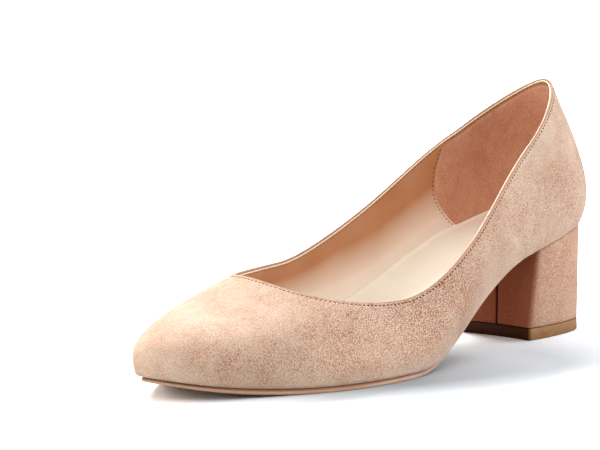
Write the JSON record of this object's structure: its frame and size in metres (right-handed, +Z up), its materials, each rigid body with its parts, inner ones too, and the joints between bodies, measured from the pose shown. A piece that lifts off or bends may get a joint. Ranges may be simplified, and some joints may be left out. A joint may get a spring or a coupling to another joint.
{
  "type": "block heel pump",
  "caption": "Low-cut pump for the left foot with an almond toe, a suede upper, a thin sole and a suede-covered block heel.",
  "frame": {"origin": "centre of the bounding box at the floor", "axes": "+Y from toe to heel, +X towards the outer side of the foot, +Z up"},
  "size_m": [0.0876, 0.2418, 0.1053],
  "materials": {
    "suede": "napped suede",
    "sock": "smooth lining leather",
    "sole": "smooth satin",
    "heel_cover": "napped suede",
    "lift": "satin"
  },
  "bodies": {
    "root": {"upper": "suede", "insole": "sock", "outsole": "sole", "heel": "heel_cover", "top_lift": "lift"}
  },
  "joints": []
}
